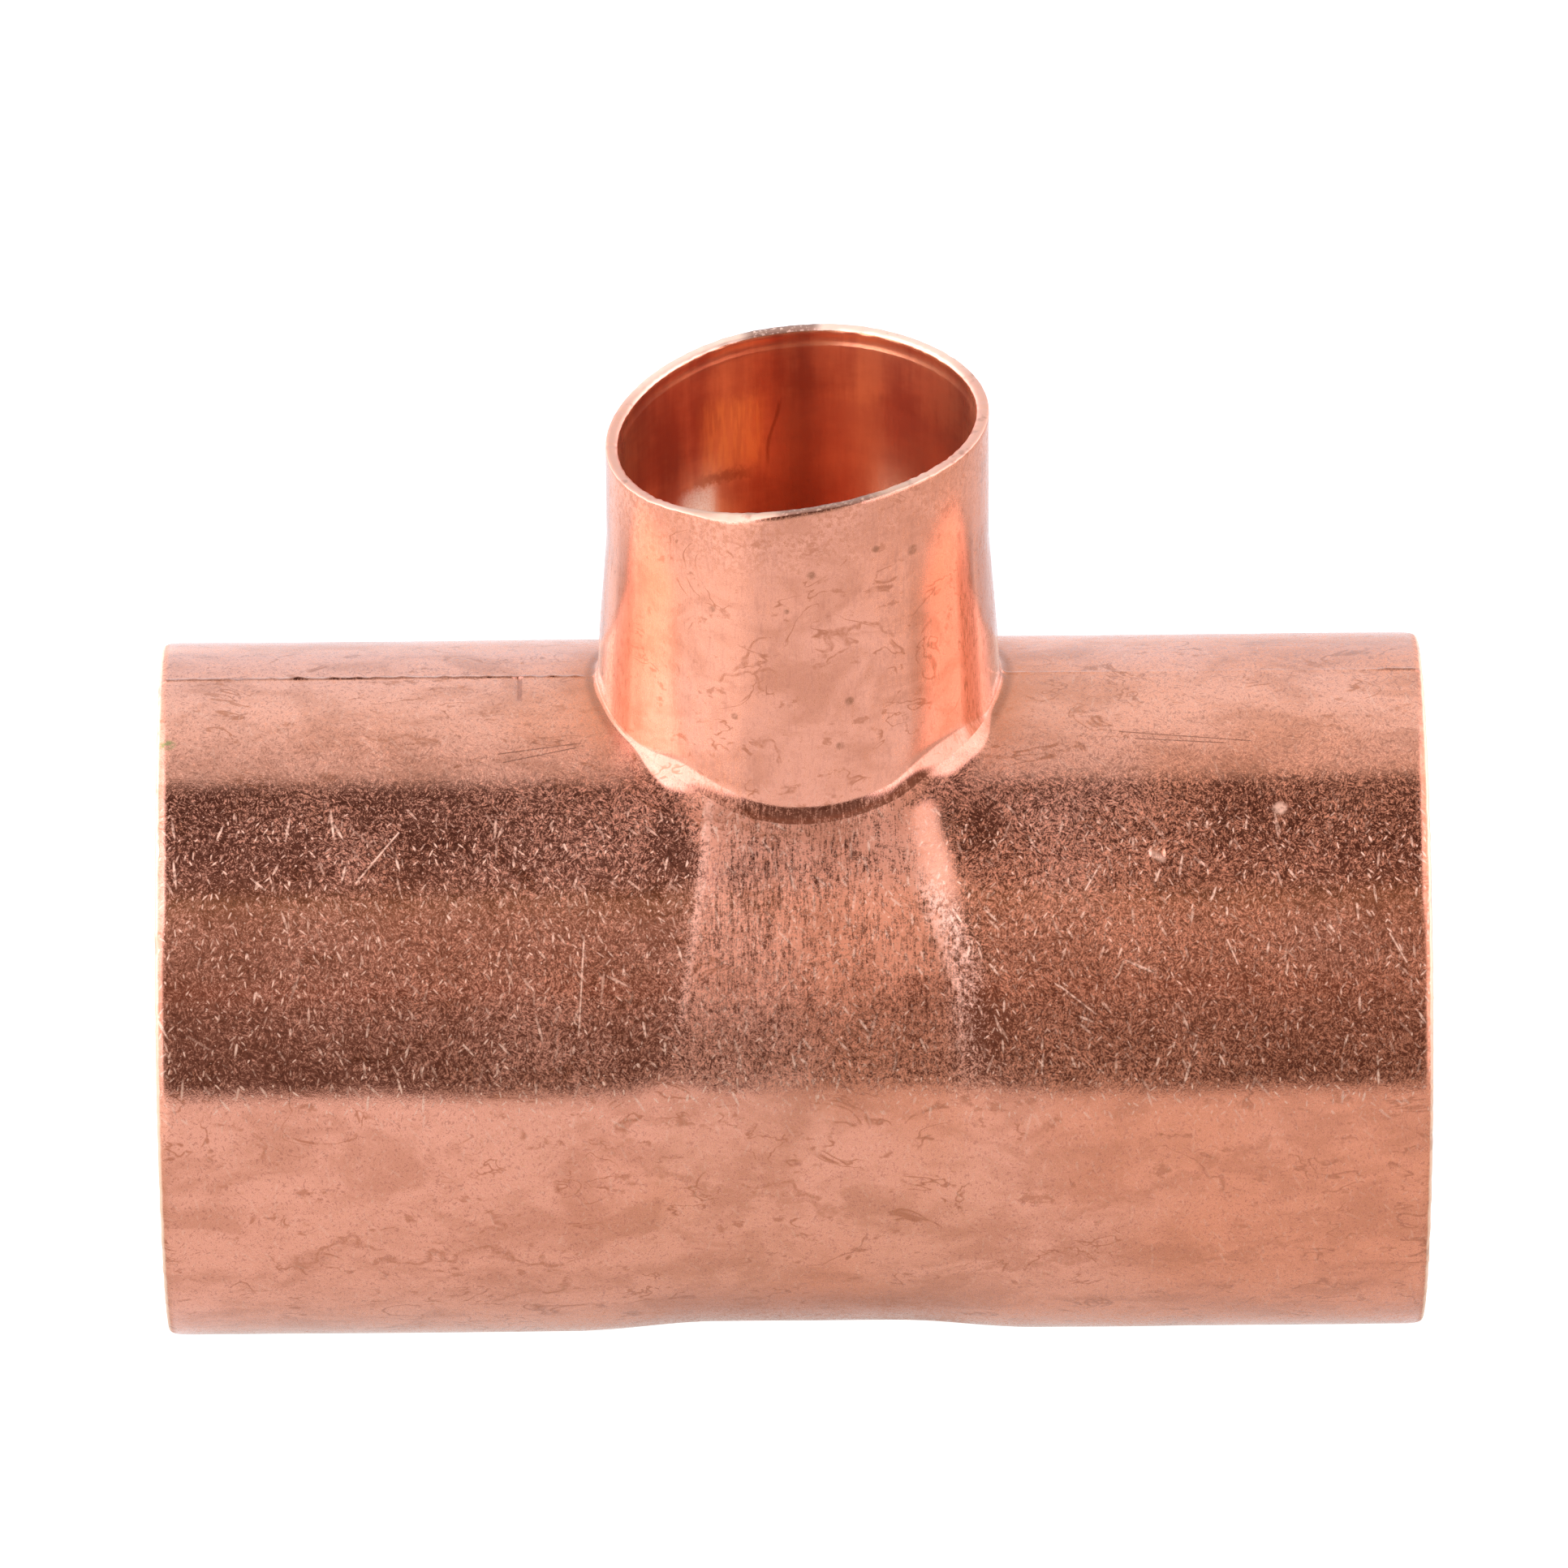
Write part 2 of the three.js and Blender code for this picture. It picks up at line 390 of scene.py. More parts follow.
def rim_rings(flat, top):
    """Rings over the cut rim, which is chipped along its inner edge and worn flat in one place."""
    chipped = 0.05 * ripple(theta, 25, 110, 0.4)
    inner = BRANCH_RADIUS - BRANCH_WALL
    profile = [
        (BRANCH_RADIUS - 0.03, -0.05), (BRANCH_RADIUS - 0.1, 0.0), (BRANCH_RADIUS - 0.3, 0.03),
        (BRANCH_RADIUS - 0.55, 0.02), (inner + 0.3, -0.02), (inner + 0.12, -0.1),
    ]
    rings = []
    for radius, lift in profile:
        ragged = chipped * smooth(BRANCH_RADIUS - 0.3, inner + 0.1, radius)
        bevel = RIM_FLAT * flat * smooth(inner + 0.1, BRANCH_RADIUS, radius)
        rings.append(tube_ring(radius - ragged, top + lift - bevel))
    return rings


def bore_rings(top):
    """Rings down the branch's bore: the sized mouth, the socket, the stop and the throat."""
    inner = BRANCH_RADIUS - BRANCH_WALL
    throat = inner - STOP_STEP
    rings = []
    for depth in (0, 0.35, 0.7, 1.0, 1.2, MOUTH_DEPTH, 1.6, 2.0, 2.5):
        step = MOUTH_STEP * (1 - smooth(0.85, MOUTH_DEPTH, depth))
        rings.append(tube_ring(inner + step * (0.3 + 0.7 * smooth(0, 0.4, depth)), top - depth))
    socket_top = rings[-1][:, 2]
    for share in np.linspace(0, 1, BORE_STEPS + 1)[1:]:
        rings.append(tube_ring(inner, lerp(socket_top, STOP_HEIGHT + STOP_STEP, share)))
    for share in (0.35, 0.7, 1.0):
        rings.append(tube_ring(lerp(inner, throat, share), STOP_HEIGHT + STOP_STEP * (1 - share)))
    fillet = fillet_rings(throat, INNER_FILLET, RUN_WALL, INNER_FILLET_STEPS)[::-1]
    throat_foot = np.minimum(fillet[0][:, 2], STOP_HEIGHT - 0.2)
    for share in np.linspace(0, 1, THROAT_STEPS + 1)[1:]:
        rings.append(tube_ring(throat, lerp(STOP_HEIGHT, throat_foot, share)))
    rings += fillet[1:]
    return rings + collar(throat, INNER_FILLET, RUN_WALL, INNER_COLLAR_STEPS)[::-1]


def branch_rings():
    """All rings in order, with their zones: 0 on the outside, 1 on the rim and 2 inside."""
    fillet, growth = root_shape()
    root = BRANCH_RADIUS + growth
    outer = collar(root, fillet, 0, COLLAR_STEPS) + fillet_rings(root, fillet, 0, FILLET_STEPS)
    flat, top = rim_shape()
    outer += wall_rings(outer[-1][:, 2], top - 0.12 - RIM_FLAT * flat, growth)
    rim = rim_rings(flat, top)
    bore = bore_rings(top - 0.25)
    return outer + rim + bore, [0] * len(outer) + [1] * len(rim) + [2] * len(bore)


# ---- one closed mesh ------------------------------------------------------------------------
def quads_of_grid():
    quads = []
    for i in range(COLUMNS):
        after = (i + 1) % COLUMNS
        j = np.arange(AROUND)
        keep = np.ones(AROUND, bool)
        if out_first <= i < out_last or in_last <= i < in_first:
            keep[hole_bottom:hole_top] = False
        j = j[keep]
        k = (j + 1) % AROUND
        quads.append(np.stack([i * AROUND + j, i * AROUND + k, after * AROUND + k, after * AROUND + j], -1))
    return np.concatenate(quads)


def quads_of_rings(rings):
    """Quads between rings of vertex numbers, each ring closed."""
    quads = []
    for ring, following in zip(rings[:-1], rings[1:]):
        quads.append(np.stack([ring, following, np.roll(following, -1), np.roll(ring, -1)], -1))
    return np.concatenate(quads)


def vertex_normals(points, quads):
    a, b = points[quads[:, 2]] - points[quads[:, 0]], points[quads[:, 3]] - points[quads[:, 1]]
    face = np.cross(a, b)
    normals = np.zeros_like(points)
    for corner in range(4):
        np.add.at(normals, quads[:, corner], face)
    return normals / np.maximum(np.linalg.norm(normals, axis=1, keepdims=True), 1e-12)


def branch_share(ring_count):
    """1 on the branch's wall, rim and bore, 0 on the run, by ring."""
    share = np.zeros(ring_count)
    share[COLLAR_STEPS + FILLET_SHARE:-(INNER_COLLAR_STEPS + FILLET_SHARE)] = 1
    return share


def tee_mesh():
    """Points, quads, zone and share of the branch. The wall that the branch replaces is left out."""
    grid = run_grid().reshape(-1, 3)
    rings, ring_zones = branch_rings()
    around = len(theta)
    points = np.concatenate([grid] + rings)
    zones = np.concatenate([np.repeat(profile[:, 3], AROUND), np.repeat(np.array(ring_zones, float), around)])
    branch = np.concatenate([np.zeros(len(grid)), np.repeat(branch_share(len(rings)), around)])
    numbers = [len(grid) + k * around + np.arange(around) for k in range(len(rings))]
    outer_numbers = outer_loop[:, 0] * AROUND + outer_loop[:, 1]
    inner_numbers = inner_loop[:, 0] * AROUND + inner_loop[:, 1]
    quads = np.concatenate([quads_of_grid(), quads_of_rings([outer_numbers] + numbers + [inner_numbers])])
    used = np.unique(quads)
    renumber = np.full(len(points), -1)
    renumber[used] = np.arange(len(used))
    return points[used], renumber[quads], zones[used], branch[used]


def wave_noise(points, length, seed):
    """A smooth random field of about unit size, from plane waves about length millimetres long."""
    local = np.random.default_rng(seed)
    total = np.zeros(len(points))
    for _ in range(24):
        direction = local.normal(size=3)
        direction /= np.linalg.norm(direction)
        wave = 2 * math.pi / (length * local.uniform(0.7, 1.6))
        total += np.sin(points @ direction * wave + local.uniform(0, 2 * math.pi))
    return total / math.sqrt(12)


def bell(distance, width):
    return np.exp(-(distance / width) ** 2)


def parting_lines(points, side, phi, branch):
    """Height of the forming dies' flash: on the crown, along the foot and beside the branch."""
    y, z = points[:, 1], points[:, 2]
    along = points * [1, 0, 0]
    ragged = 1 + 0.35 * wave_noise(along, 1.1, 5) + 0.25 * wave_noise(along, 4.0, 6)
    on_crown = np.where(side < 0, FLASH_LEFT, lerp(FLASH_RIGHT, FLASH_RIGHT_END, smooth(45.5, 47.5, side)))
    crown_flash = on_crown * ragged * bell(RUN_RADIUS * phi, 0.19)
    foot_flash = FLASH_FOOT * ragged * bell(RUN_RADIUS * (math.pi - np.abs(phi)), 0.22)
    low_on_branch = 1 - smooth(RUN_RADIUS + 3, RUN_RADIUS + 11, z)
    return (1 - branch) * (crown_flash + foot_flash) + branch * FLASH_BRANCH * bell(y, 0.25) * low_on_branch


def pressed_marks(side, phi):
    """Height of the run's nick, crease and two dents."""
    t = RUN_RADIUS * phi
    out = np.degrees(phi)
    place, reach, width = NICK
    in_reach = smooth(-0.15, 0.1, t) * (1 - smooth(reach - 0.3, reach, t))
    height = -NICK_DEPTH * bell(side - place, width) * in_reach
    crease = side + lerp(7.0, 12.2, smooth(30, 85, out))
    height = height + CREASE_HEIGHT * bell(crease, 0.8) * smooth(25, 40, out) * smooth(100, 70, out)
    place, degrees, size = ROUND_DENT
    away = np.hypot(side - place, t - RUN_RADIUS * math.radians(degrees)) / size
    height = height - ROUND_DENT_DEPTH * bell(away, 1) + 0.03 * bell(away - 1.5, 0.45)
    place, degrees, size = SQUARE_DENT
    wide = smooth(1.35, 0.9, np.abs(side - place) / size)
    tall = smooth(1.35, 0.9, np.abs(t - RUN_RADIUS * math.radians(degrees)) / (0.62 * size))
    return height - SQUARE_DENT_DEPTH * wide * tall


def relief(points, branch):
    """Height of the skin over the plain shape: flash, pressed marks and unevenness."""
    side = points[:, 0] - BRANCH_X
    phi = np.arctan2(-points[:, 1], points[:, 2])
    uneven = 0.012 * wave_noise(points, 16, 3) + 0.003 * wave_noise(points, 5, 4)
    return uneven + parting_lines(points, side, phi, branch) + (1 - branch) * pressed_marks(side, phi)


def make_object(name, points, quads, attributes):
    mesh = bpy.data.meshes.new(name)
    mesh.vertices.add(len(points))
    shifted = (points + [0, 0, AXIS_HEIGHT]) * MM
    mesh.vertices.foreach_set("co", shifted.astype(np.float32).ravel())
    mesh.loops.add(quads.size)
    mesh.loops.foreach_set("vertex_index", quads.astype(np.int32).ravel())
    mesh.polygons.add(len(quads))
    mesh.polygons.foreach_set("loop_start", np.arange(0, quads.size, 4, dtype=np.int32))
    mesh.update(calc_edges=True)
    mesh.validate()
    mesh.polygons.foreach_set("use_smooth", np.ones(len(mesh.polygons), bool))
    for label, values in attributes.items():
        made = mesh.attributes.new(label, "FLOAT", "POINT")
        made.data.foreach_set("value", values.astype(np.float32))
    thing = bpy.data.objects.new(name, mesh)
    bpy.context.scene.collection.objects.link(thing)
    return thing


points, quads, zones, branch = tee_mesh()
normals = vertex_normals(points, quads)
outer = 1 - smooth(0.0, 0.6, zones)
points = points + normals * (relief(points, branch) * outer)[:, None]
tee = make_object("copper_tee", points, quads, {"zone": zones, "branch": branch})

# ---- building shader nodes ------------------------------------------------------------------
NOISE_GAIN = 8.0          # noise textures stay within about 1/8 of their middle value


class Graph:
    """Short names for building the nodes of one shader."""

    def __init__(self, tree):
        self.tree = tree
        tree.nodes.clear()

    def put(self, socket, value):
        if isinstance(value, bpy.types.NodeSocket):
            self.tree.links.new(value, socket)
        elif isinstance(value, (tuple, list)) and len(value) == 3 and socket.type == "RGBA":
            socket.default_value = (*value, 1)
        else:
            socket.default_value = value

    def node(self, kind, inputs, **settings):
        made = self.tree.nodes.new(kind)
        for name, value in settings.items():
            setattr(made, name, value)
        for name, value in inputs.items():
            self.put(made.inputs[name], value)
        return made

    def math(self, operation, *values):
        return self.node("ShaderNodeMath", dict(enumerate(values)), operation=operation).outputs[0]

    def vector(self, operation, *values):
        made = self.node("ShaderNodeVectorMath", dict(enumerate(values)), operation=operation)
        return made.outputs["Value" if operation in ("DOT_PRODUCT", "LENGTH", "DISTANCE") else "Vector"]

    def scaled(self, vector, scales):
        return self.vector("MULTIPLY", vector, scales)

    def joined(self, x, y):
        return self.node("ShaderNodeCombineXYZ", {0: x, 1: y}).outputs[0]

    def split(self, vector):
        return self.node("ShaderNodeSeparateXYZ", {0: vector}).outputs

    def noise(self, vector, scale, detail=2.0, roughness=0.5, distortion=0.0):
        inputs = {"Vector": vector, "Scale": scale, "Detail": detail, "Roughness": roughness}
        return self.node("ShaderNodeTexNoise", {**inputs, "Distortion": distortion}).outputs[0]

    def signed(self, noise):
        """A noise texture's value as a signed number of about unit size."""
        return self.linear(noise, NOISE_GAIN, -NOISE_GAIN / 2)

    def band(self, value, start, end, low=0.0, high=1.0):
        """An S-curve from low at start to high at end."""
        if start > end:
            start, end, low, high = end, start, high, low
        inputs = {"Value": value, "From Min": start, "From Max": end, "To Min": low, "To Max": high}
        return self.node("ShaderNodeMapRange", inputs, interpolation_type="SMOOTHSTEP").outputs[0]

    def linear(self, value, factor, start):
        return self.math("MULTIPLY_ADD", value, factor, start)

    def window(self, value, rise_start, rise_end, fall_start, fall_end):
        """1 between rise_end and fall_start, fading to 0 at the two outer values."""
        return self.times(self.band(value, rise_start, rise_end), self.band(value, fall_end, fall_start))

    def abs(self, value):
        return self.math("ABSOLUTE", value)

    def away(self, value, middle):
        """How far value is from middle."""
        return self.abs(self.math("SUBTRACT", value, middle))

    def rest(self, share):
        return self.math("SUBTRACT", 1.0, share)

    def chain(self, operation, values):
        result = values[0]
        for value in values[1:]:
            result = self.math(operation, result, value)
        return result

    def total(self, *values):
        return self.chain("ADD", values)

    def times(self, *values):
        return self.chain("MULTIPLY", values)

    def most(self, *values):
        return self.chain("MAXIMUM", values)

    def mix(self, factor, a, b, blend="MIX"):
        """A mix of two colours."""
        inputs = {0: factor, 6: a, 7: b}
        return self.node("ShaderNodeMix", inputs, data_type="RGBA", blend_type=blend).outputs[2]

    def tinted(self, colour, tint):
        return self.mix(1.0, colour, tint, "MULTIPLY")

    def blend(self, factor, a, b):
        """A mix of two numbers."""
        return self.node("ShaderNodeMix", {0: factor, 2: a, 3: b}, data_type="FLOAT").outputs[0]

    def attribute(self, name):
        return self.node("ShaderNodeAttribute", {}, attribute_name=name).outputs["Fac"]

    def seen_by_camera(self):
        return self.node("ShaderNodeLightPath", {}).outputs["Is Camera Ray"]


def spot(g, place, centre, size):
    """1 at a point, fading to 0 at size millimetres from it."""
    return g.band(g.vector("DISTANCE", place, (*centre, 0)), size * 0.35, size, 1, 0)


def stroke(g, place, points, width):
    """1 along a line through the points, fading to 0 at width millimetres from it."""
    pieces = []
    for start, end in zip(points[:-1], points[1:]):
        start, end = Vector((*start, 0)), Vector((*end, 0))
        ahead = (end - start).normalized()
        local = g.vector("SUBTRACT", place, start)
        along = g.vector("DOT_PRODUCT", local, ahead)
        reach = g.node("ShaderNodeClamp", {0: along, 1: 0.0, 2: (end - start).length}).outputs[0]
        foot = g.node("ShaderNodeVectorMath", {0: ahead, 3: reach}, operation="SCALE").outputs[0]
        pieces.append(g.band(g.vector("DISTANCE", local, foot), width, width * 0.2))
    return g.most(*pieces)


def strokes(g, place, lines, width):
    return g.most(*[stroke(g, place, line, width) for line in lines])


def turned_cells(g, skin, cell, turn, spread):
    """Places in random cells of the skin, from each cell's middle and turned its own way: turn
    radians, give or take half of spread. Also each cell's random colour and its channels."""
    inputs = {"Vector": skin, "Scale": 1 / cell}
    cells = g.node("ShaderNodeTexVoronoi", inputs, voronoi_dimensions="2D").outputs
    random = g.node("ShaderNodeSeparateColor", {0: cells["Color"]}).outputs
    angle = g.linear(random[0], spread, turn - spread / 2)
    local = g.vector("SUBTRACT", skin, cells["Position"])
    turned = g.node("ShaderNodeVectorRotate", {"Vector": local, "Angle": angle}, rotation_type="Z_AXIS")
    return turned.outputs[0], cells["Color"], random


def hatching(g, skin, cell, across, along, turn, spread):
    """Patches of fine parallel hairlines, as a signed height of about unit size. Across and
    along are the lines to a millimetre, over and down them."""
    turned, colour, _ = turned_cells(g, skin, cell, turn, spread)
    apart = g.vector("ADD", g.scaled(turned, (across, along, 1)), g.scaled(colour, (90, 70, 0)))
    inputs = {"Vector": apart, "Scale": 1.0, "Detail": 1.0, "Roughness": 0.5}
    return g.signed(g.node("ShaderNodeTexNoise", inputs, noise_dimensions="2D").outputs[0])


def scratches(g, skin, cell, width, length, turn, spread, share):
    """Single short straight marks with thin ends, at most one in each random cell of the skin.
    Share is the part of the cells that have one; they differ in strength."""
    turned, _, random = turned_cells(g, skin, cell, turn, spread)
    shape = g.joined(1 / width, g.math("DIVIDE", 1 / length, random[2]))
    away = g.vector("LENGTH", g.vector("MULTIPLY", turned, shape))
    strength = g.node("ShaderNodeMapRange", {"Value": random[1], "From Min": 1 - share, "From Max": 1.0})
    return g.times(g.band(away, 1.0, 0.5), g.math("POWER", strength.outputs[0], 0.5))


# ---- copper ---------------------------------------------------------------------------------
# Linear colours of the metal and of what lies on it, and of painted shade, shadow, highlights, glints and
# reflections.
COPPER_PALE, COPPER_WARM = (0.80, 0.365, 0.25), (0.745, 0.30, 0.18)
STAIN, SPECK, PIT = (0.49, 0.185, 0.105), (0.34, 0.14, 0.08), (0.3, 0.11, 0.07)
# Pale scratches, also the painted highlight in the dents, then dark drag marks.
SCRATCH_AND_DENT_HIGHLIGHT, DRAG_MARK = (0.97, 0.68, 0.54), (0.28, 0.11, 0.07)
# Painted shade round the branch's foot on the run, then a painted reflection for the branch's sides.
COLLAR_SHADE, BRANCH_REFLECTION = (0.62, 0.21, 0.1), (0.34, 0.1, 0.045)
# Painted shade in the corner at the branch's foot, then a painted shadow beside the crown's parting line.
CORNER_SHADE, FLASH_SHADOW = (0.3, 0.11, 0.06), (0.3, 0.13, 0.09)
# A darker strip in the nick, then painted shade low on the run under the branch.
NICK_DARK, UNDERSIDE_SHADE = (0.35, 0.13, 0.08), (0.4, 0.14, 0.08)
VERDIGRIS = (0.3, 0.28, 0.11)
# Painted reflection: a paler colour that the outside shows in the fitting's reflections of itself.
PAINTED_SELF_REFLECTION = (0.9, 0.61, 0.47)         # what the outside shows to the rest of the fitting
BORE_DARK, BORE_PALE, BORE_PANEL = (0.62, 0.22, 0.13), (0.86, 0.37, 0.2), (0.72, 0.28, 0.17)
# The bore's gold patch, painted glints and dark lines.
BORE_GOLD, BORE_GLINT, BORE_DARK_LINE = (1.0, 0.5, 0.2), (1.0, 0.75, 0.6), (0.3, 0.09, 0.04)
RIM_PALE, RIM_SIDE, RIM_FRONT = (0.88, 0.6, 0.45), (0.72, 0.37, 0.26), (0.5, 0.27, 0.17)
OXIDE = (0.26, 0.12, 0.08)
# A painted highlight and painted shade along the waist's edges.
RIDGE_HIGHLIGHT, RIDGE_SHADE = (0.96, 0.6, 0.44), (0.25, 0.13, 0.08)
UNPOLISHED = (0.62, 0.2, 0.1)

# Places sheltered from rubbing beside the branch's foot: along the run, and 0.6 times the arc.
SHELTERED = [((-10.2, 11.6), 3.2), ((-11.6, 14.8), 2.6), ((14.9, 20.4), 2.6), ((14.7, 10.6), 1.8)]
SCUFFED_FOOT = ((-6.8, 9.3), 3.8)
GREEN_SPOT = (-81.4, 18.0)                # 1.6 times the place along the run, and degrees
SINGLE_SCRATCHES = [                      # shift, cell, width, length, turn, spread and share
    ((0, 0, 0), 0.7, 0.095, 0.5, 0.0, 2.0, 0.75),
    ((57, 91, 0), 1.5, 0.14, 1.2, -0.25, 1.3, 0.5),
    ((11, 63, 0), 4.2, 0.15, 2.0, -0.4, 1.6, 0.4),
]


class Surface:
    """Places on the copper in millimetres, from its axes and laid flat, shares that say which part
    a place is on, and the textures that many marks have in common."""

    def __init__(self, g):
        metres = g.node("ShaderNodeTexCoord", {}).outputs["Object"]
        self.g = g
        self.place = g.vector("SUBTRACT", g.scaled(metres, (1 / MM,) * 3), (0, 0, AXIS_HEIGHT))
        self.x, self.y, self.z = g.split(self.place)
        self.side = g.math("SUBTRACT", self.x, BRANCH_X)
        front = g.math("MULTIPLY", self.y, -1)

        zone = g.attribute("zone")
        self.branch = g.math("GREATER_THAN", g.attribute("branch"), 0.5)
        self.run = g.rest(self.branch)
        self.inner = g.band(zone, 1.2, 1.9)
        self.rim = g.times(g.band(zone, 0.3, 0.9), g.band(zone, 1.2, 1.8, 1, 0))

        # The skin laid flat: along the run and up its front, or round the branch and up it.
        angle = g.math("ARCTAN2", front, self.z)
        self.degrees = g.math("MULTIPLY", angle, 180 / math.pi)
        self.arc = g.math("MULTIPLY", angle, RUN_RADIUS)
        round_branch = g.math("MULTIPLY", g.math("ARCTAN2", self.side, front), BRANCH_RADIUS)
        self.turn = g.math("DIVIDE", round_branch, BRANCH_RADIUS * math.pi / 180)
        flat_x = g.blend(self.branch, self.side, round_branch)
        flat_y = g.blend(self.branch, g.math("MULTIPLY", self.arc, -1), self.z)
        self.skin = g.joined(flat_x, flat_y)
        self.from_branch = g.vector("LENGTH", g.joined(self.side, self.y))

        self.speckle = g.noise(self.place, 8.0, 3.0, 0.65)
        self.mottle = g.noise(self.place, 2.4, 4.0, 0.65)
        self.combed = g.signed(g.noise(g.scaled(self.skin, (1, 0.17, 1)), 5.5, 2.0, 0.6))
        drawn_run, drawn_branch = g.scaled(self.place, (0.1, 1, 1)), g.scaled(self.place, (1, 1, 0.12))
        self.drawn = g.mix(self.branch, drawn_run, drawn_branch)
        self.bore_lines = g.band(g.noise(self.drawn, 3.0, 2.0), 0.4, 0.6, 0.5, 1.0)

    def patchy(self, start, end, low=0.0, high=1.0):
        return self.g.band(self.mottle, start, end, low, high)


def rubbed_waist(g, at):
    """How rubbed the run's waist is. Its two edges spread towards the front."""
    left = g.math("ADD", g.band(at.degrees, 30, 120, 7.2, 13.1), 0.3)
    right = g.math("SUBTRACT", g.band(at.degrees, 28, 66, 9.6, 13.3), g.band(at.degrees, 60, 50, 0.0, 1.0))
    return g.times(
        g.band(g.math("ADD", at.side, left), -1.0, 1.4),
        g.band(g.math("SUBTRACT", at.side, right), 1.6, -0.8),
        g.band(at.degrees, 50, 76, 1.0, 0.3),
        at.run,
    )


def wear(g, at, rubbed, left_ridge):
    """The part of the light that worn places scatter, before any single mark."""
    clouds = g.signed(g.noise(at.place, 0.12, 4.0, 0.6))
    laid_out = g.joined(at.side, g.math("MULTIPLY", at.arc, 0.6))
    sheltered = g.most(*[spot(g, laid_out, place, size) for place, size in SHELTERED])
    return g.total(
        0.17,
        g.times(sheltered, at.run, -0.3),
        g.times(clouds, g.linear(rubbed, 0.13, 0.09)),
        g.times(left_ridge, 0.4),
        g.times(g.band(g.abs(at.side), 40, 14), 0.12),
        g.band(at.x, -52, 20, -0.1, 0.06),
        g.times(g.window(at.degrees, 46, 54, 62, 70), g.band(at.side, 10, 20), 0.07),
        g.times(rubbed, 0.52),
        g.times(spot(g, laid_out, *SCUFFED_FOOT), 0.5),
        g.times(at.branch, -0.3),
    )


def fine_marks(g, at, rubbed):
    """Brushed and hatched hairlines with mottling, as a signed height."""
    streaks = g.signed(g.noise(g.scaled(at.skin, (1, 0.12, 1)), 1.7, 2.0, 0.6))
    brushed = g.total(g.times(at.combed, 0.8), g.times(streaks, 0.55))
    hatched = g.times(hatching(g, at.skin, 0.8, 6.5, 1.9, -0.2, 2.6), 0.42)
    hairs = g.blend(g.most(g.times(rubbed, 0.75), g.times(at.branch, 0.8)), hatched, brushed)
    return g.total(hairs, g.times(g.signed(at.speckle), 0.62), g.times(g.signed(at.mottle), 0.55))


def painted_dent_highlights(g, at):
    """Pale scuffs with a painted highlight in the round dent and in the square one."""
    place, degrees, size = ROUND_DENT
    dent_highlight = spot(g, at.skin, (place + 0.2, -RUN_RADIUS * math.radians(degrees)), size)
    place, degrees, size = SQUARE_DENT
    start, end = (-RUN_RADIUS * math.radians(degrees + more) for more in (0, 1))
    across = [(place - 0.35, start), (place + 0.35, end)]
    return g.most(dent_highlight, g.times(stroke(g, at.skin, across, size), 0.85))


def scratch_marks(g, at, rubbed, worn):
    """Two shares of the surface that marks cover: the tiny scratches, and the single ones with the scores and
    the dents' scuffs and painted highlights.
    """
    handled = g.linear(g.window(g.abs(at.degrees), 28, 36, 78, 88), 0.8, 0.2)
    tiny = scratches(g, g.vector("ADD", at.skin, (31, 17, 0)), 0.34, 0.04, 0.26, 0.1, 3.0, 0.9)
    tiny = g.times(tiny, g.band(worn, 0.0, 0.4, 0.2, 0.75), handled)
    single = g.most(*[
        scratches(g, g.vector("ADD", at.skin, shift), *form) for shift, *form in SINGLE_SCRATCHES
    ])
    on_branch = g.band(at.branch, 0, 1, 1.0, 0.3)
    single = g.times(single, on_branch, at.patchy(0.35, 0.6, 0.45, 1.1), handled, g.linear(rubbed, -0.2, 1.0))
    scored = g.times(strokes(g, at.skin, SCORES, 0.13), at.run, at.patchy(0.35, 0.55, 0.4, 1.0))
    # The dents' scuffs, with a painted highlight in them.
    dents = g.times(painted_dent_highlights(g, at), at.run, at.patchy(0.3, 0.55, 0.35, 0.8))
    return tiny, g.most(single, scored, dents)


def stains(g, at):
    """How stained the outside is, with wandering lines, blots, flecks and the drawn stains."""
    drawn = g.scaled(at.place, (0.6, 1, 1))
    worm = g.band(g.away(g.noise(drawn, 0.2, 3.0, 0.55, 1.4), 0.5), 0.0, 0.024, 1, 0)
    worm = g.times(worm, g.band(g.noise(at.place, 0.21, 3.0), 0.5, 0.58))
    blot = g.band(g.noise(drawn, 0.7, 5.0, 0.65), 0.58, 0.68)
    soft = g.band(g.noise(drawn, 0.24, 5.0, 0.65, 0.6), 0.42, 0.66)
    wander = g.node("ShaderNodeTexNoise", {"Vector": at.place, "Scale": 0.5, "Detail": 1.5}).outputs["Color"]
    waved = g.scaled(g.vector("SUBTRACT", wander, (0.5, 0.5, 0.5)), (4.5, 4.5, 0))
    waved = g.vector("ADD", at.skin, waved)
    on_branch = g.times(strokes(g, waved, BRANCH_STAINS, 0.38), at.branch)
    on_run = g.most(strokes(g, waved, RUN_STAINS, 0.55), g.times(strokes(g, waved, RUBBED_LINES, 0.8), 0.7))
    on_run = g.times(on_run, at.run)
    below_rim = g.math("SUBTRACT", g.linear(at.side, RIM_SLOPE_X, RIM_HEIGHT), at.z)
    hazy = g.times(g.band(below_rim, 9, 3), at.patchy(0.4, 0.62), at.branch)
    return g.most(
        g.times(worm, 0.95), g.times(blot, 0.75), g.times(soft, 0.5), g.times(at.patchy(0.62, 0.7), 0.5),
        g.times(g.most(on_branch, on_run), at.patchy(0.3, 0.6, 0.25, 0.8)), g.times(hazy, 0.6),
    )


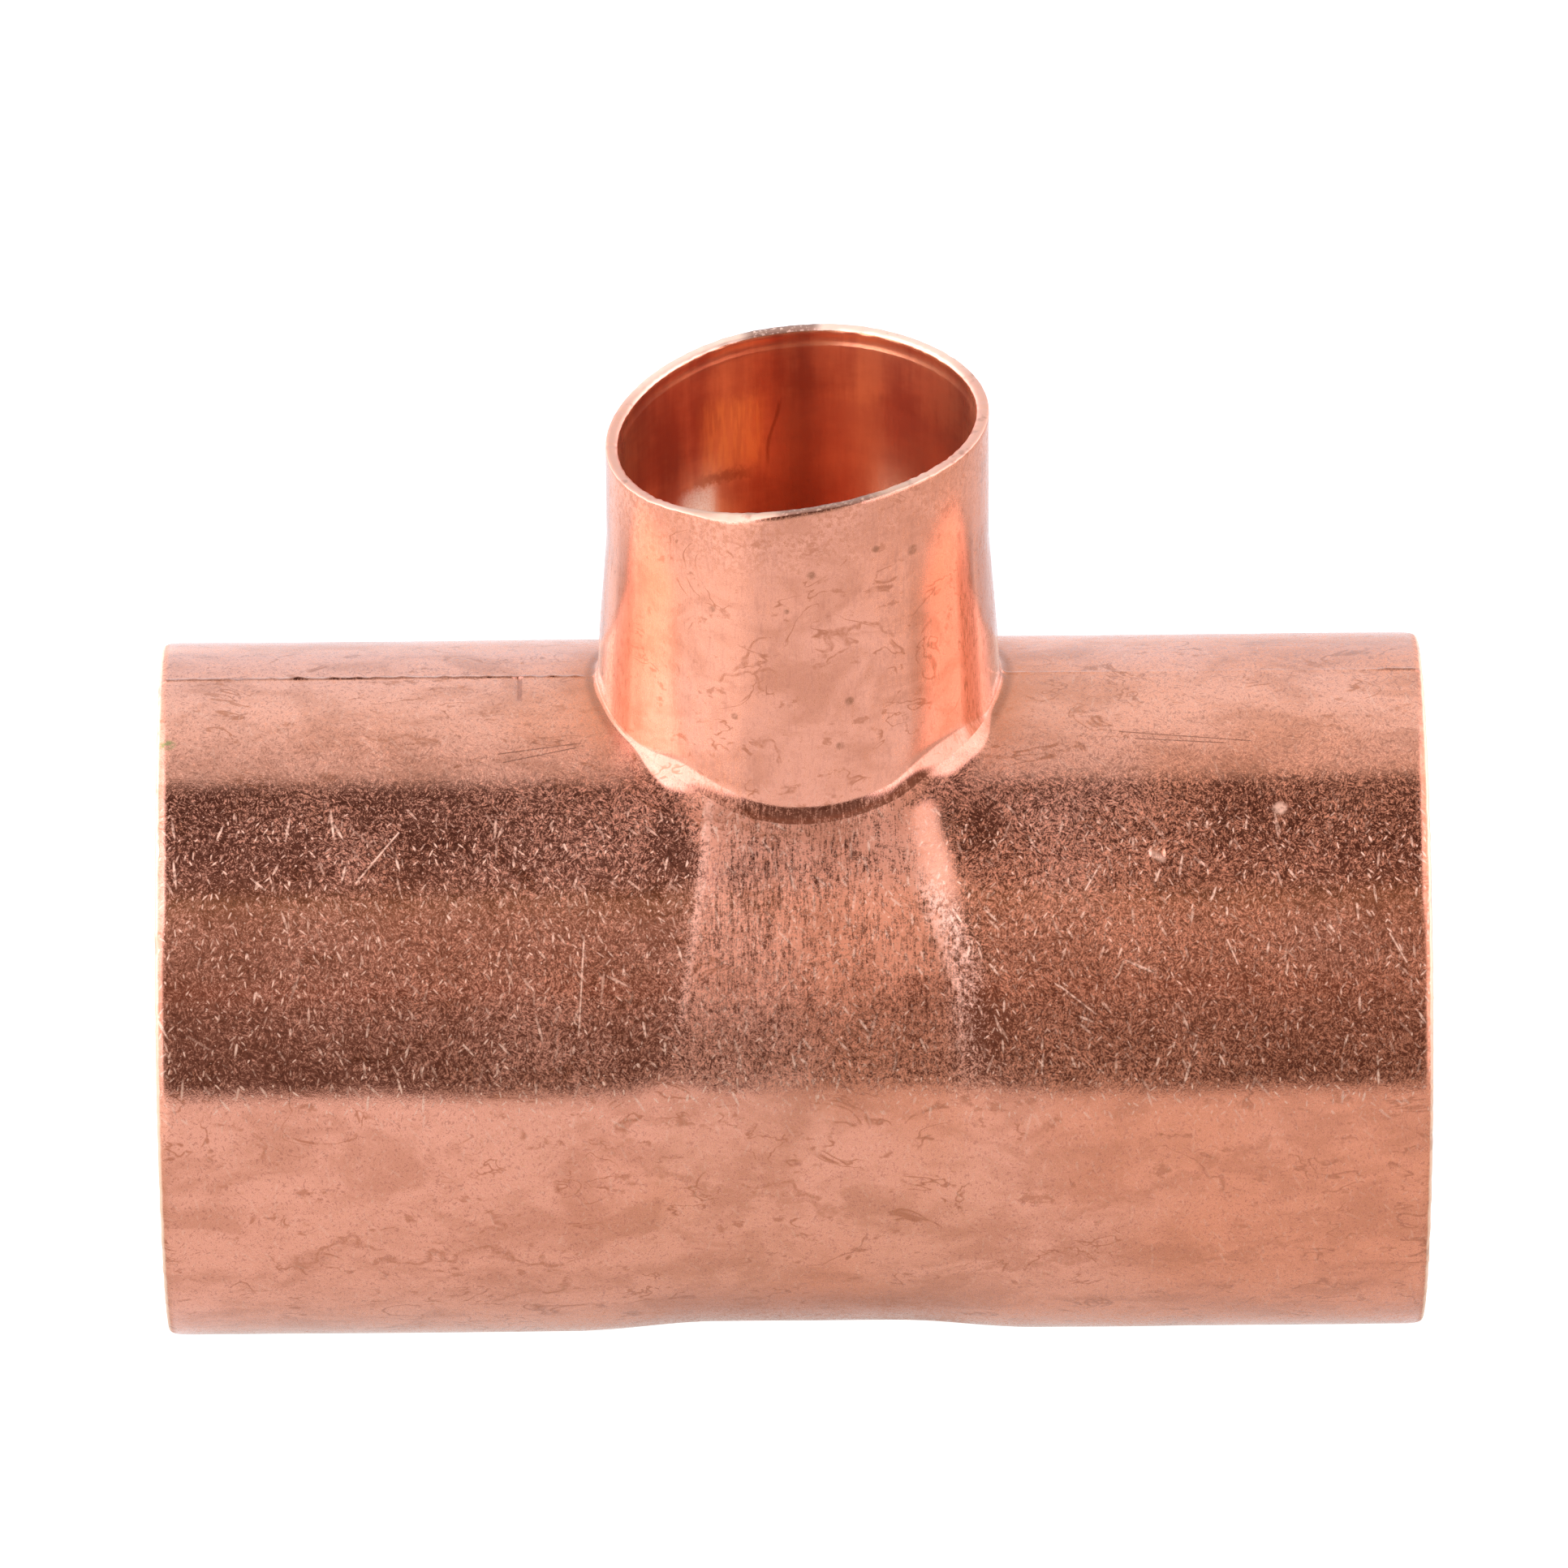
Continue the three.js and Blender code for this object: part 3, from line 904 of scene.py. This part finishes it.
def painted_branch_reflection(g, at):
    """Painted reflection: the darker upright bands at both sides of the branch, by degrees round it from the
    front.
    """
    bands = g.most(
        g.band(g.away(at.turn, 38.0), 5, 1.5, 0.0, 0.3),
        g.band(g.away(at.turn, 60.0), 8, 2.5, 0.0, 0.9),
        g.band(at.turn, 62, 70, 0.0, 0.5),
        g.band(g.away(at.turn, -64.0), 9, 3, 0.0, 0.68),
        g.band(g.away(at.turn, 46.0), 12, 9, 0.0, 0.3),
        g.band(at.turn, -50, -56, 0.0, 0.24),
    )
    bands = g.times(bands, g.band(at.z, 49, 40), g.band(g.abs(at.turn), 100, 84), at.branch)
    return g.times(bands, g.linear(at.combed, 0.1, 1.0))


def deposits_and_painted_light(g, at, stain, pits, scratches_and_dent_highlights):
    """What lies on the outside's copper, and the painted shade, shadow, highlights and reflections laid over
    it, from below to above: each one's share and colour.
    """
    specks = g.most(*[spot(g, at.skin, place, size) for *place, size in BRANCH_SPECKS])
    dragged = g.times(strokes(g, at.skin, DRAG_LINES, 0.09), at.run)
    off_middle = g.abs(at.side)
    # Painted shade on the run at the sides of the branch's foot: a darker band, and a thin darker line nearer
    # the branch.
    collar_shade = g.times(g.band(at.from_branch, 20.5, 17.0), g.band(off_middle, 14, 16.5), at.run)
    corner_shade = g.times(g.band(at.from_branch, 17.6, 16.9), g.band(off_middle, 14, 15.5), at.run)
    beyond_branch = g.most(g.band(at.side, -17, -18), g.band(at.side, 46, 47.5))
    # Painted shadow: a dark line beside the parting line's flash on the crown, left of the branch and at the
    # right end.
    flash_shadow = g.times(g.band(g.abs(at.arc), 0.28, 0.08), at.run, beyond_branch)
    # Painted shade low on the run, under the branch, where it rests on the floor.
    foot = g.times(g.band(at.degrees, 120, 133), g.band(off_middle, 17, 9), at.run)
    green = spot(g, g.joined(g.times(at.side, 1.6), at.degrees), GREEN_SPOT, 1.5)
    place, reach, _ = NICK
    # A darker strip along one side of the nick.
    in_nick = g.window(at.arc, -0.1, 0.3, reach - 0.8, reach)
    in_nick = g.times(g.band(g.away(at.side, place + 0.16), 0.26, 0.12), in_nick, at.run)
    return [
        (stain, STAIN),
        (g.times(specks, at.branch, at.patchy(0.3, 0.6, 0.3, 0.85)), SPECK),
        (g.times(dragged, at.patchy(0.35, 0.6, 0.5, 1.0)), DRAG_MARK),
        (g.times(pits, 0.5), PIT),
        # Pale scratches, and the painted highlight in the dents.
        (g.times(scratches_and_dent_highlights, 0.7), SCRATCH_AND_DENT_HIGHLIGHT),
        (g.times(collar_shade, 0.6), COLLAR_SHADE),
        (g.times(corner_shade, 0.55), CORNER_SHADE),
        (g.times(flash_shadow, at.patchy(0.3, 0.55, 0.4, 1.0), 0.7), FLASH_SHADOW),
        (g.times(foot, 0.5), UNDERSIDE_SHADE),
        (g.times(green, at.patchy(0.36, 0.5), at.run, 0.9), VERDIGRIS),
        (g.times(in_nick, 0.7), NICK_DARK),
        # Painted reflection: away from the camera the outside takes a paler colour, so the fitting mirrors
        # itself paler.
        (g.times(g.rest(g.seen_by_camera()), g.rest(at.inner)), PAINTED_SELF_REFLECTION),
        # Painted reflection: darker upright bands down the branch's sides.
        (painted_branch_reflection(g, at), BRANCH_REFLECTION),
    ]


def bore_colour(g, at):
    """The inside: drawing lines, and a panel, a gold patch, a pale patch of painted glints and dark lines at
    the back.
    """
    tone = g.total(
        g.times(g.noise(at.drawn, 0.5, 4.0, 0.6), 0.5),
        g.times(g.noise(g.scaled(at.place, (0.5, 0.5, 1)), 0.28, 4.0, 0.6), 0.5),
    )
    ragged = g.linear(g.signed(at.mottle), 0.2, at.z)
    panel = g.times(g.most(g.band(at.turn, 95, 115), g.band(at.turn, -171, -173)), g.band(ragged, 46.6, 45.6))
    gold = g.window(ragged, 39.4, 41.5, 45.5, 47.5)
    gold = g.times(g.window(at.turn, -171, -167, -152, -144), gold, at.bore_lines)
    # Painted glints: a sparkly pale patch at the back, below the level dark line.
    pale = g.times(g.band(ragged, 39.6, 38.6), g.band(at.speckle, 0.4, 0.55, 0.6, 1.0))
    pale = g.times(g.window(at.turn, -155, -150, -142, -136), pale)
    leaning = g.away(at.turn, g.band(at.z, 41.5, 46.0, -170.6, -174.6))
    upright_line = g.times(g.band(leaning, 1.0, 0.1), g.window(at.z, 39.6, 41.5, 45.4, 46.2))
    level_line = g.band(g.away(ragged, 39.7), 0.8, 0.1)
    level_line = g.times(level_line, g.window(at.turn, -168, -161, -151, -143))
    colour = g.mix(g.band(tone, 0.38, 0.62), BORE_DARK, BORE_PALE)
    colour = g.mix(g.times(panel, 0.5), colour, BORE_PANEL)
    colour = g.mix(g.times(gold, 0.75), colour, BORE_GOLD)
    colour = g.mix(g.times(pale, 0.85), colour, BORE_GLINT)
    colour = g.mix(g.times(g.most(upright_line, level_line), 0.5), colour, BORE_DARK_LINE)
    return g.tinted(colour, (1.03, 1.03, 1.0))


def rim_colour(g, at):
    """The cut rims: pale metal, redder at the branch's sides and front, with oxide patches."""
    scorched = g.window(at.turn, -8, -4, 20, 30)
    scorched = g.most(scorched, g.band(at.turn, -161, -167), g.band(at.turn, 171, 175))
    patches = g.times(g.band(g.noise(at.place, 0.3, 4.0, 0.6), 0.56, 0.64), g.linear(at.branch, 0.15, 0.4))
    oxide = g.most(patches, g.times(scorched, at.branch, at.patchy(0.34, 0.5)))
    aside = g.band(g.away(g.abs(at.turn), 80), 52, 25)
    colour = g.mix(g.times(aside, at.branch), RIM_PALE, RIM_SIDE)
    colour = g.mix(g.times(g.band(g.abs(at.turn), 48, 30), at.branch, 0.65), colour, RIM_FRONT)
    return g.mix(g.times(oxide, 0.85), colour, OXIDE)


def from_right_edge(g, at):
    """Distance from the waist's right edge, in millimetres along the run."""
    return g.away(at.side, g.band(at.degrees, 38, 66, 9.9, 13.3))


def polished_colour(g, at, colour):
    """The mirror's colour, with painted shade along the upper part of the waist's right edge."""
    edge_shade = g.times(g.band(from_right_edge(g, at), 3.4, 1.6), g.window(at.degrees, 28, 34, 50, 66), at.run)
    return g.mix(g.times(edge_shade, 0.7), colour, RIDGE_SHADE)


def scuffed_colour(g, at, colour, rubbed, left_ridge):
    """The scuffed metal's colour: a painted highlight on the waist's edges, and painted shade at its top and
    low on the run.
    """
    ridge = g.times(g.band(from_right_edge(g, at), 2.2, 0.3), g.window(at.degrees, 40, 48, 62, 88), at.run)
    dull = g.tinted(colour, (1.0, 1.06, 0.98))
    dull = g.mix(g.times(g.most(ridge, left_ridge), at.patchy(0.35, 0.6, 0.1, 0.8)), dull, RIDGE_HIGHLIGHT)
    waist_top = g.times(g.window(at.degrees, 28, 34, 40, 50), rubbed, 0.17)
    painted_shade = g.times(g.most(waist_top, g.band(at.degrees, 60, 74, 0.0, 0.12)), at.run)
    return g.mix(painted_shade, dull, (0, 0, 0))


def copper_material():
    """Polished copper and scuffed copper, mixed by the share of the light that marks scatter."""
    made = bpy.data.materials.new("copper")
    made.use_nodes = True
    g = Graph(made.node_tree)
    at = Surface(g)

    rubbed = rubbed_waist(g, at)
    # The waist's left edge: it adds wear and a painted highlight.
    left_ridge = g.times(stroke(g, at.skin, LEFT_RIDGE, 0.6), at.run, 0.6)
    worn = wear(g, at, rubbed, left_ridge)
    fine = fine_marks(g, at, rubbed)
    tiny, single = scratch_marks(g, at, rubbed, worn)
    lip = g.band(g.abs(at.x), HALF_LENGTH - 0.9, HALF_LENGTH - 0.3)
    lip = g.times(lip, at.patchy(0.35, 0.6, 0.5, 1.0))
    scatter = g.most(g.linear(fine, 0.42, worn), tiny, single, lip)
    scatter = g.blend(at.inner, g.node("ShaderNodeClamp", {0: scatter}).outputs[0], 0.3)

    tone = g.math("ADD", g.noise(at.place, 0.05, 2.0, 0.5), g.times(at.x, 0.0035))
    colour = g.mix(g.band(tone, 0.4, 0.68), COPPER_PALE, COPPER_WARM)
    stain = stains(g, at)
    pits = g.times(g.band(fine, -0.2, -1.1), g.rest(at.inner), g.linear(at.branch, -0.6, 1.0))
    for share, tint in deposits_and_painted_light(g, at, stain, pits, g.most(single, g.times(tiny, 0.6))):
        colour = g.mix(share, colour, tint)
    colour = g.mix(at.inner, colour, bore_colour(g, at))
    colour = g.mix(at.rim, colour, rim_colour(g, at))

    rough = g.blend(at.rim, g.linear(stain, 0.05, 0.06), 0.42)
    rough = g.blend(g.times(at.inner, 0.8), rough, 0.24)
    height = g.total(at.speckle, g.times(at.combed, -0.04), g.times(at.bore_lines, at.inner, 0.4))
    bump = g.node("ShaderNodeBump", {"Height": height, "Distance": 0.006 * MM, "Strength": 1.0}).outputs[0]

    def metal(colour, rough):
        inputs = {"Base Color": colour, "Metallic": 1.0, "Roughness": rough, "Normal": bump}
        return g.node("ShaderNodeBsdfPrincipled", inputs).outputs[0]

    polished = metal(polished_colour(g, at, colour), rough)
    scuffed = metal(scuffed_colour(g, at, colour, rubbed, left_ridge), 0.55)
    shader = g.node("ShaderNodeMixShader", {0: scatter, 1: polished, 2: scuffed}).outputs[0]
    # Seen along the tube, the run's unpolished inside looks dull instead of mirroring the far end.
    grazing = g.node("ShaderNodeLayerWeight", {"Blend": 0.5}).outputs["Facing"]
    unpolished = g.node("ShaderNodeBsdfDiffuse", {"Color": UNPOLISHED}).outputs[0]
    share = g.times(g.band(grazing, 0.6, 0.93), at.inner, at.run, 0.9)
    shader = g.node("ShaderNodeMixShader", {0: share, 1: shader, 2: unpolished}).outputs[0]
    g.node("ShaderNodeOutputMaterial", {"Surface": shader})
    return made


tee.data.materials.append(copper_material())

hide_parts("tee_body")
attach(tee, "root")

# ---- studio ---------------------------------------------------------------------------------
# Light by degrees over the front horizon, round the run's direction: the floor's edge in front,
# the dark room, a bright ceiling and the back.
SKY = [
    (-180, (1, 1, 1)), (-40, (1, 1, 1)), (-16, (0.9, 0.9, 0.9)), (-12, (0.155, 0.105, 0.095)),
    (4, (0.17, 0.115, 0.1)), (20, (0.22, 0.155, 0.135)), (25, (0.26, 0.18, 0.15)), (26.5, (0.36, 0.18, 0.13)),
    (28.5, (0.26, 0.19, 0.16)), (41, (0.32, 0.24, 0.21)), (54, (0.37, 0.29, 0.24)), (56, (0.43, 0.36, 0.22)),
    (57.5, (0.2, 0.14, 0.12)), (69, (0.15, 0.1, 0.09)), (75, (0.13, 0.087, 0.078)), (99, (0.12, 0.08, 0.072)),
    (100.5, (0.75, 0.77, 0.8)), (109, (0.8, 0.82, 0.87)), (119, (1.0, 1.07, 1.15)), (135, (1.15, 1.3, 1.46)),
    (160, (1.05, 1.18, 1.36)), (180, (1.05, 1.15, 1.3)),
]
SOFTBOX_LEFT, SOFTBOX_RIGHT = 2.9, 2.5
SOFTBOX_TINT = (1.0, 0.96, 1.12)


def sky_ramp(g, degrees):
    """The colour of the sky at a number of degrees from -180 to 180."""
    share = g.math("DIVIDE", g.math("ADD", degrees, 180), 360)
    ramp = g.node("ShaderNodeValToRGB", {0: share})
    elements = ramp.color_ramp.elements
    while len(elements) > 1:
        elements.remove(elements[-1])
    for index, (stop, colour) in enumerate(SKY):
        element = elements[0] if index == 0 else elements.new((stop + 180) / 360)
        element.position = (stop + 180) / 360
        element.color = (*colour, 1)
    return ramp.outputs[0]


def world():
    """The sky with a softbox at each side, whose inner edges come closer together higher up."""
    made = bpy.data.worlds.new("studio")
    bpy.context.scene.world = made
    made.use_nodes = True
    g = Graph(made.node_tree)
    x, y, z = g.split(g.node("ShaderNodeTexCoord", {}).outputs["Generated"])
    angle = g.math("ARCTAN2", z, g.math("MULTIPLY", y, -1))
    sky = sky_ramp(g, g.math("MULTIPLY", angle, 180 / math.pi))
    into_right = g.math("SUBTRACT", x, g.band(z, 0.5, 0.85, 0.5, 0.27))
    into_left = g.math("SUBTRACT", g.math("MULTIPLY", x, -1), g.band(z, 0.5, 0.85, 0.4, 0.2))
    in_softbox = g.band(g.math("MAXIMUM", into_right, into_left), 0.0, 0.14)
    middle = {"Value": x, "From Min": -0.01, "From Max": 0.01}
    softbox = g.node("ShaderNodeMapRange", {**middle, "To Min": SOFTBOX_LEFT, "To Max": SOFTBOX_RIGHT})
    light = g.mix(in_softbox, sky, g.tinted(softbox.outputs[0], SOFTBOX_TINT))
    seen = g.mix(g.seen_by_camera(), light, (1, 1, 1))
    background = g.node("ShaderNodeBackground", {"Color": seen}).outputs[0]
    g.node("ShaderNodeOutputWorld", {"Surface": background})


world()

# ---- floor ----------------------------------------------------------------------------------
FLOOR_FRONT = 245.0       # the pale floor ends this far in front of the fitting
FLOOR_REACH = 3000.0      # and this far at the sides and behind
FLOOR_DROP = 0.1          # it lies this far below the fitting, which rests on it


def floor_material():
    """Pale and plain. It glows less in the metal than to the camera, and least to the right."""
    made = bpy.data.materials.new("floor")
    made.use_nodes = True
    g = Graph(made.node_tree)
    x, _, _ = g.split(g.node("ShaderNodeTexCoord", {}).outputs["Object"])
    mirrored = g.band(x, -95 * MM, -60 * MM, 0.98, 0.66)
    strength = g.blend(g.seen_by_camera(), mirrored, 1.0)
    glow = g.node("ShaderNodeEmission", {"Strength": strength}).outputs[0]
    diffuse = g.node("ShaderNodeBsdfDiffuse", {"Color": (0.25, 0.25, 0.25)}).outputs[0]
    both = g.node("ShaderNodeAddShader", {0: diffuse, 1: glow}).outputs[0]
    g.node("ShaderNodeOutputMaterial", {"Surface": both})
    return made


def floor():
    mesh = bpy.data.meshes.new("floor")
    reach, front = FLOOR_REACH * MM, -FLOOR_FRONT * MM
    corners = [(-reach, front, 0), (reach, front, 0), (reach, reach, 0), (-reach, reach, 0)]
    mesh.from_pydata(corners, [], [(0, 1, 2, 3)])
    thing = bpy.data.objects.new("floor", mesh)
    bpy.context.scene.collection.objects.link(thing)
    thing.location.z = cad_box[0][2] - FLOOR_DROP * MM
    mesh.materials.append(floor_material())


floor()

# ---- camera ---------------------------------------------------------------------------------
# A long lens from far away, in front of the fitting and over it. Degrees and millimetres.
ELEVATION, AZIMUTH, ROLL = 27.24, -0.19, -0.43
DISTANCE = 1358.0
FOCAL_LENGTH, SENSOR_WIDTH = 384.6, 36.0
TARGET = Vector((-0.61, 0.0, AXIS_HEIGHT + 18.29)) * MM


def add_camera():
    data = bpy.data.cameras.new("camera")
    data.lens = FOCAL_LENGTH
    data.sensor_width = SENSOR_WIDTH
    camera = bpy.data.objects.new("camera", data)
    bpy.context.scene.collection.objects.link(camera)
    bpy.context.scene.camera = camera
    turns = [(AZIMUTH, "Z"), (90 - ELEVATION, "X"), (ROLL, "Z")]
    around, tilt, roll = (Matrix.Rotation(math.radians(degrees), 4, axis) for degrees, axis in turns)
    back_off = Matrix.Translation((0, 0, DISTANCE * MM))
    camera.matrix_world = Matrix.Translation(TARGET) @ around @ tilt @ roll @ back_off


add_camera()
bpy.context.scene.view_settings.view_transform = "Standard"
